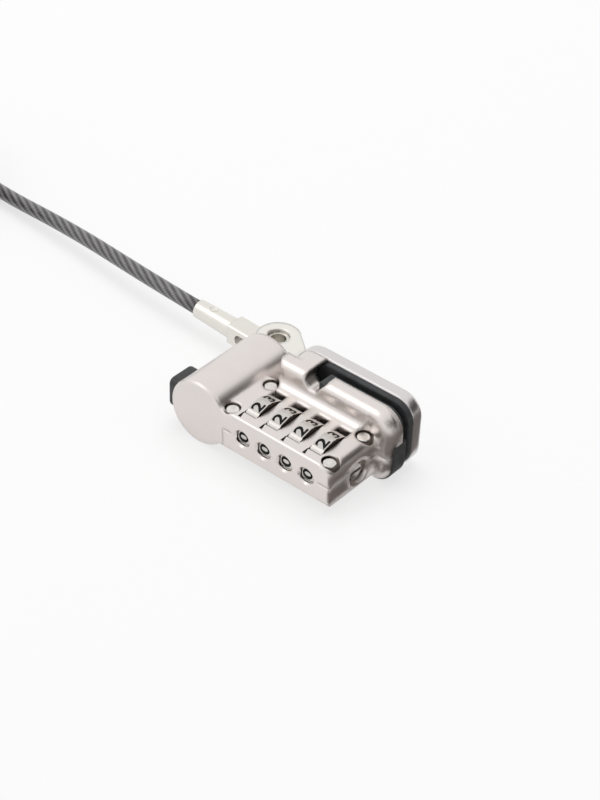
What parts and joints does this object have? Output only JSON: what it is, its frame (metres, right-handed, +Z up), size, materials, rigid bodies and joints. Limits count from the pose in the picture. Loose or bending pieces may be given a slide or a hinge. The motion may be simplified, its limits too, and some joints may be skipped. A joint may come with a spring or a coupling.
{
  "type": "laptop cable lock",
  "caption": "combination cable lock with numbered dials in a nickel-plated casting that clamps on a thin plate between rubber pads, with a swivelling fork and a coiled steel cable",
  "frame": {"origin": "middle of the lock's underside on the ground, without its cable", "axes": "X along the row of dials, Y back from the front face through the two jaws, Z up"},
  "size_m": [0.3034, 0.0606, 0.023],
  "materials": {
    "nickel_casting": "satin nickel plating on a zinc casting",
    "rear_casting": "satin nickel plating on a zinc casting",
    "rivet_steel": "nickel-plated steel",
    "steel": "turned steel",
    "dial_plating": "nickel plating with dark numbers",
    "brass": "turned brass",
    "button_plastic": "black moulded plastic",
    "pad_rubber": "black rubber",
    "fork_plating": "nickel-plated steel",
    "cable_sheath": "clear grey sheath over stranded steel",
    "tie_plastic": "black strap",
    "ferrule_alloy": "pressed aluminium alloy"
  },
  "bodies": {
    "rear_clamp": {"rear_jaw": "rear_casting", "rear_pad": "pad_rubber", "spindle": "steel", "spindle_washer": "steel", "spindle_clip": "steel", "fork_pin": "steel"},
    "lock_body": {"upper_housing": "nickel_casting", "bottom_cover": "nickel_casting", "cover_rivets": "rivet_steel", "dial_axle": "steel", "detent_plungers": "steel", "fence_bar": "steel", "front_pad": "pad_rubber"},
    "dial_1": {"dial_1": "dial_plating", "code_ring_1": "brass"},
    "dial_2": {"dial_2": "dial_plating", "code_ring_2": "brass"},
    "dial_3": {"dial_3": "dial_plating", "code_ring_3": "brass"},
    "dial_4": {"dial_4": "dial_plating", "code_ring_4": "brass"},
    "button": {"push_button": "button_plastic", "latch_plate": "steel"},
    "reset_screw": {"reset_screw": "steel"},
    "cable_fork": {"cable_fork": "fork_plating", "cable_lead": "cable_sheath", "cable_coil": "cable_sheath", "cable_loop": "cable_sheath", "coil_tie": "tie_plastic", "loop_ferrule": "ferrule_alloy"}
  },
  "joints": [
    {"name": "clamp_swing", "type": "hinge", "parent": "rear_clamp", "child": "lock_body", "pos_m": [-0.01945, -0.02205, 0.01], "axis": [0, -1, 0], "range_deg": [0, 100]},
    {"name": "dial_1_turn", "type": "hinge", "parent": "lock_body", "child": "dial_1", "pos_m": [-0.00365, -0.01325, 0.0096], "axis": [1, 0, 0], "continuous": true},
    {"name": "dial_2_turn", "type": "hinge", "parent": "lock_body", "child": "dial_2", "pos_m": [0.00385, -0.01325, 0.0096], "axis": [1, 0, 0], "continuous": true},
    {"name": "dial_3_turn", "type": "hinge", "parent": "lock_body", "child": "dial_3", "pos_m": [0.01135, -0.01325, 0.0096], "axis": [1, 0, 0], "continuous": true},
    {"name": "dial_4_turn", "type": "hinge", "parent": "lock_body", "child": "dial_4", "pos_m": [0.01885, -0.01325, 0.0096], "axis": [1, 0, 0], "continuous": true},
    {"name": "button_press", "type": "slide", "parent": "lock_body", "child": "button", "axis": [1, 0, 0], "range_m": [0, 0.002], "stiffness_N_per_m": 400},
    {"name": "reset_turn", "type": "hinge", "parent": "lock_body", "child": "reset_screw", "pos_m": [0.02705, -0.00975, 0.0078], "axis": [1, 0, 0], "range_deg": [0, 90]},
    {"name": "fork_swivel", "type": "hinge", "parent": "rear_clamp", "child": "cable_fork", "pos_m": [-0.02305, 0.01555, 0.00725], "axis": [0, 0, 1], "range_deg": [-90, 18]}
  ]
}
